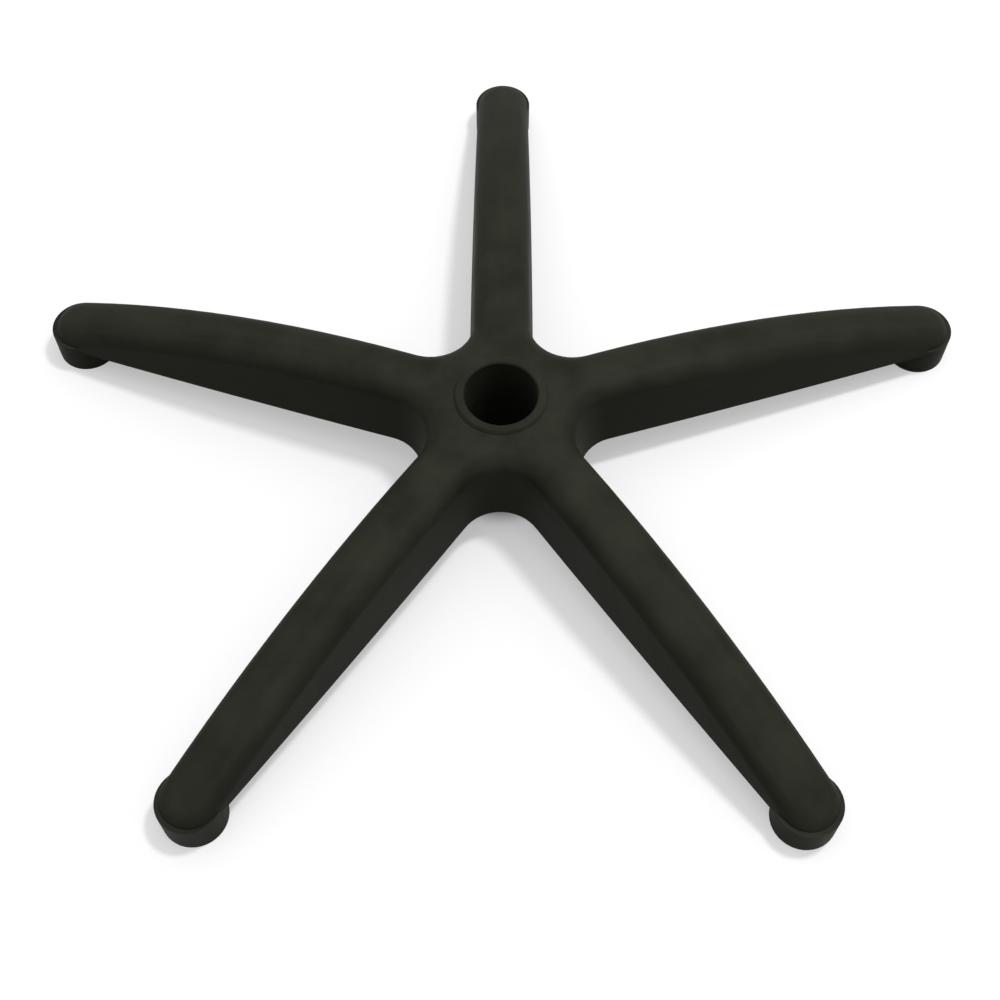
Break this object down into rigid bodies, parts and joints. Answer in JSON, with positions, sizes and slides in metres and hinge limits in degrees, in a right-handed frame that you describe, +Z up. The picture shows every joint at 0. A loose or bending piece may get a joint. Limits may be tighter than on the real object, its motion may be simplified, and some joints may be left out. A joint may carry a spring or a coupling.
{
  "type": "office chair five star base",
  "caption": "Star-shaped swivel chair base with arched hollow arms, a tapered column bore in its hub and a caster socket under each arm end.",
  "frame": {"origin": "on the hub axis, in the plane of the lower ends of the caster bosses", "axes": "+Z up along the hub axis, out of the column bore's mouth; +Y along the first arm"},
  "size_m": [0.6612, 0.6309, 0.0855],
  "materials": {
    "nylon": "satin"
  },
  "bodies": {
    "root": {"star_base": "nylon"}
  },
  "joints": []
}
